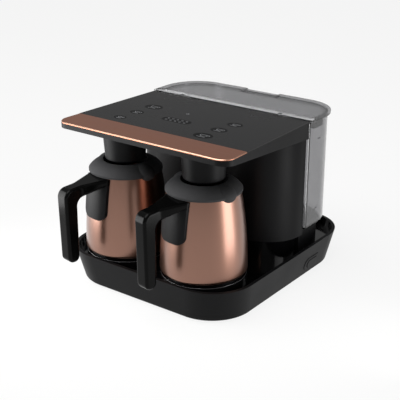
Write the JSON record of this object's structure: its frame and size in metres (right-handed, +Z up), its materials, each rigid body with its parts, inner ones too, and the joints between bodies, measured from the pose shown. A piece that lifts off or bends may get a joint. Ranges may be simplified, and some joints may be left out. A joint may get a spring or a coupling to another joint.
{
  "type": "electric turkish coffee maker",
  "caption": "Electric Turkish coffee maker: copper coffee pots slide under brew heads of a cantilevered hood, with a lift-off rear water tank.",
  "frame": {"origin": "on the table, under the centre of the bounding box of the machine with its pots in place", "axes": "+Z up, -Y towards the user at the front, +X to the right seen from the front"},
  "size_m": [0.232, 0.2978, 0.1866],
  "materials": {
    "board": "green circuit board with its parts",
    "copper_pot": "satin steel with a copper-coloured coat",
    "copper_trim": "brushed and anodised copper colour with a bright edge",
    "dark_lens": "dark infrared window",
    "gloss_black": "polished moulded black",
    "hot_plate": "dark coated cast aluminium",
    "panel_black": "smooth satin-gloss touch surface",
    "rubber": "soft black",
    "satin_black": "fine satin moulded black ABS",
    "silicone": "translucent white silicone",
    "smoke_clear": "clear smoke-grey moulded",
    "steel": "plain steel",
    "white_plastic": "natural white moulded"
  },
  "bodies": {
    "machine": {"base_plate": "satin_black", "base_screws": "steel", "base_tray": "satin_black", "brew_head_left": "satin_black", "brew_head_right": "satin_black", "button_bezel": "satin_black", "copper_trim": "copper_trim", "cord_gland": "white_plastic", "feed_manifold": "white_plastic", "foam_sensor_left": "board", "foam_sensor_right": "board", "heater_plate_left": "hot_plate", "heater_plate_right": "hot_plate", "heater_seal_left": "silicone", "heater_seal_right": "silicone", "heating_element_left": "steel", "heating_element_right": "steel", "hood_shell": "satin_black", "plinth": "gloss_black", "power_board": "board", "power_switch": "white_plastic", "pump_left": "steel", "pump_mount_left": "rubber", "pump_mount_right": "rubber", "pump_right": "steel", "rear_panel": "satin_black", "rubber_feet": "rubber", "sensor_window_left": "dark_lens", "sensor_window_right": "dark_lens", "socket_seal": "silicone", "tank_seat": "satin_black", "tank_socket": "white_plastic", "thermostat_left": "steel", "thermostat_right": "steel", "touch_board": "board", "touch_panel": "panel_black", "tower_shell": "satin_black", "water_hose_left": "silicone", "water_hose_right": "silicone", "water_nozzle_left": "white_plastic", "water_nozzle_right": "white_plastic"},
    "pot_left": {"pot_body_left": "copper_pot", "pot_collar_left": "gloss_black", "pot_handle_left": "gloss_black"},
    "pot_right": {"pot_body_right": "copper_pot", "pot_collar_right": "gloss_black", "pot_handle_right": "gloss_black"},
    "tank": {"water_tank": "smoke_clear", "valve_cage": "white_plastic", "valve_spring": "steel", "lid_pins": "steel"},
    "valve": {"valve_plunger": "white_plastic"},
    "lid": {"tank_lid": "smoke_clear"},
    "button": {"power_button": "gloss_black"}
  },
  "joints": [
    {"name": "pot_left_slide", "type": "slide", "parent": "machine", "child": "pot_left", "axis": [0, -1, 0], "range_m": [0, 0.16]},
    {"name": "pot_right_slide", "type": "slide", "parent": "machine", "child": "pot_right", "axis": [0, -1, 0], "range_m": [0, 0.16]},
    {"name": "tank_lift", "type": "slide", "parent": "machine", "child": "tank", "axis": [0, 0, 1], "range_m": [0, 0.14]},
    {"name": "lid_hinge", "type": "hinge", "parent": "tank", "child": "lid", "pos_m": [0, 0.05811, 0.1848], "axis": [1, 0, 0], "range_deg": [0, 95]},
    {"name": "valve_stroke", "type": "slide", "parent": "tank", "child": "valve", "axis": [0, 0, 1], "range_m": [0, 0.003], "stiffness_N_per_m": 150, "springref_m": -0.004, "deforming": ["valve_spring"]},
    {"name": "power_press", "type": "slide", "parent": "machine", "child": "button", "axis": [-0.9822, 0, 0.188], "range_m": [0, 0.002], "stiffness_N_per_m": 500, "springref_m": -0.001}
  ]
}
